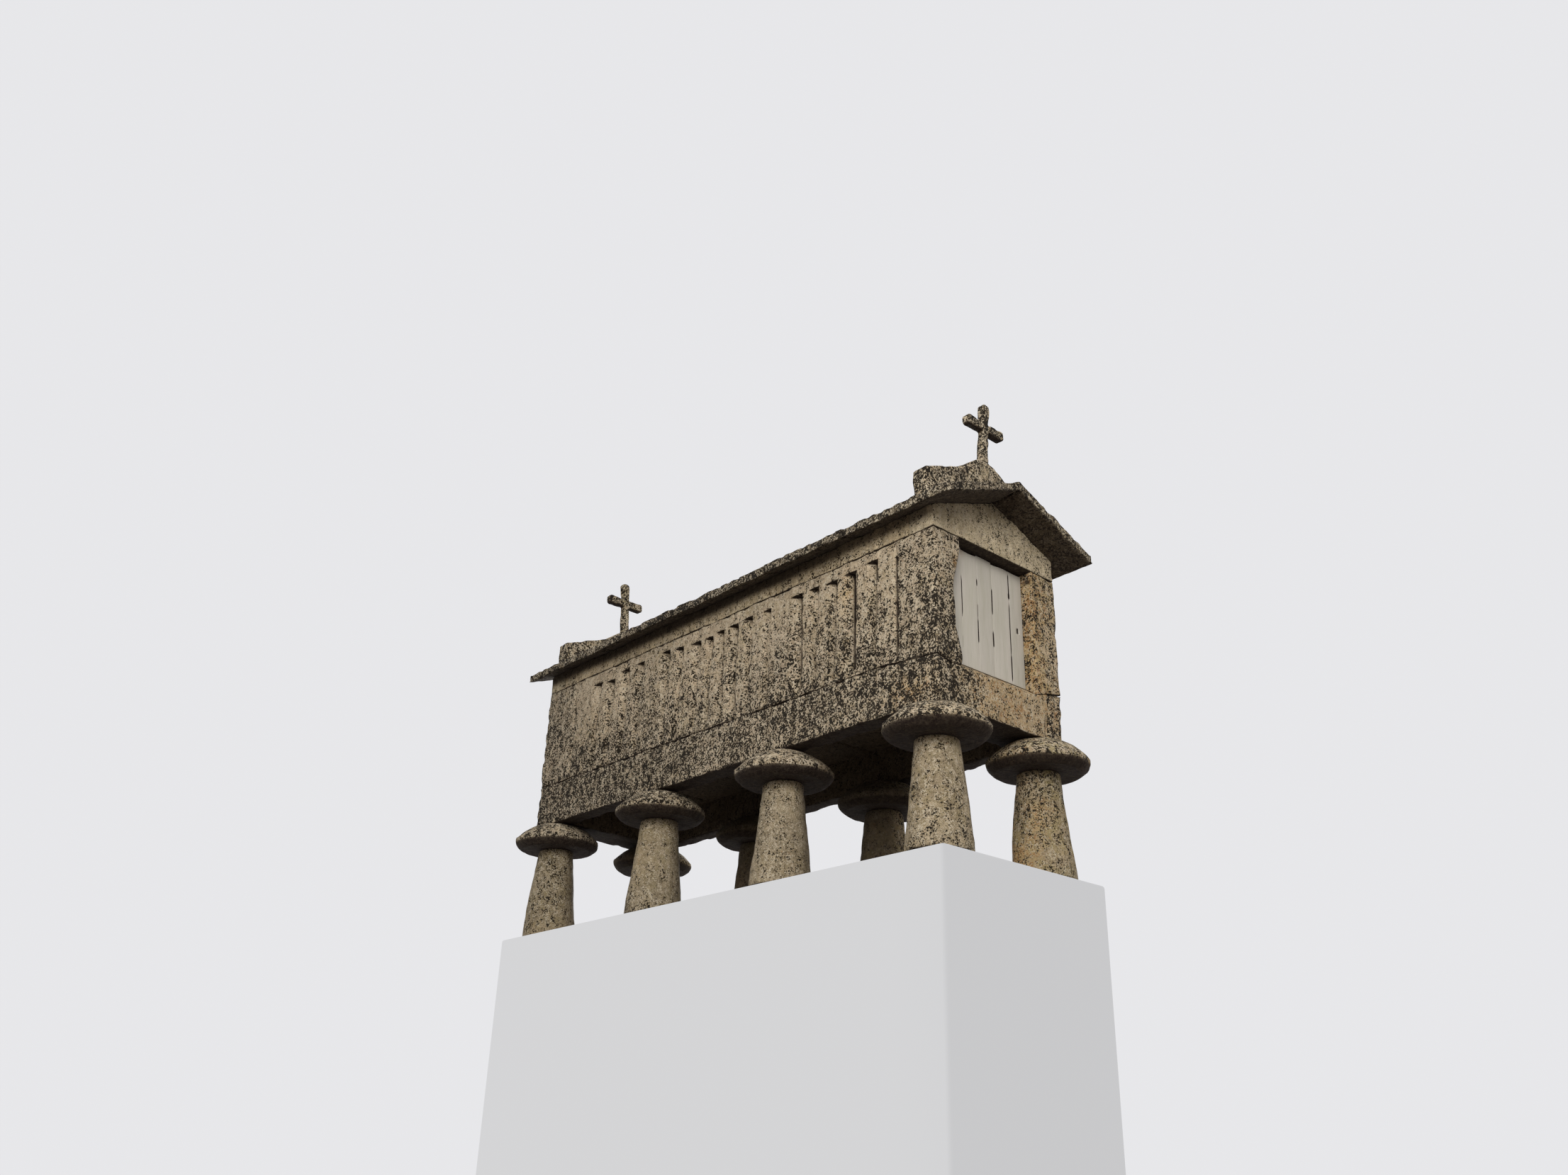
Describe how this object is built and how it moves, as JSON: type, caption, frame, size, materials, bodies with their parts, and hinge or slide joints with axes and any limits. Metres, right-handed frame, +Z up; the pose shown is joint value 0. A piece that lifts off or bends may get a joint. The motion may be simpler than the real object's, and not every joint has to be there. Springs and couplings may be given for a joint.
{
  "type": "raised granary",
  "caption": "Long narrow granite granary on mushroom-topped pillars, with slotted slab walls, a slab roof with a cross over each end, and a boarded door.",
  "frame": {"origin": "on the ground, under the centre of the whole outline", "axes": "+Z up, +X along the granary towards its door; left and right are as seen facing the door"},
  "size_m": [5.206, 1.76, 3.5418],
  "materials": {
    "granite": "rough",
    "roof_granite": "rough",
    "weathered_boards": "rough"
  },
  "bodies": {
    "masonry": {"pillar_left_1": "granite", "pillar_left_2": "granite", "pillar_left_3": "granite", "pillar_left_4": "granite", "pillar_right_1": "granite", "pillar_right_2": "granite", "pillar_right_3": "granite", "pillar_right_4": "granite", "capital_left_1": "granite", "capital_left_2": "granite", "capital_left_3": "granite", "capital_left_4": "granite", "capital_right_1": "granite", "capital_right_2": "granite", "capital_right_3": "granite", "capital_right_4": "granite", "sill_left": "granite", "sill_right": "granite", "sill_front": "granite", "sill_back": "granite", "floor_slabs": "granite", "post_front_left": "granite", "post_front_right": "granite", "post_back_left": "granite", "post_back_right": "granite", "left_wall_slabs": "granite", "right_wall_slabs": "granite", "back_wall_slabs": "granite", "plate_left": "granite", "plate_right": "granite", "gable_front": "granite", "gable_back": "granite", "saddle_front": "granite", "saddle_back": "granite", "cross_front": "granite", "cross_back": "granite", "roof_slabs_left": "roof_granite", "roof_slabs_right": "roof_granite"},
    "door": {"door_stile": "weathered_boards", "door_boards": "weathered_boards", "door_ledges": "weathered_boards"}
  },
  "joints": [
    {"name": "door_hinge", "type": "hinge", "parent": "masonry", "child": "door", "pos_m": [2.242, -0.364, 1.342], "axis": [0, 0, -1], "range_deg": [0, 85]}
  ]
}
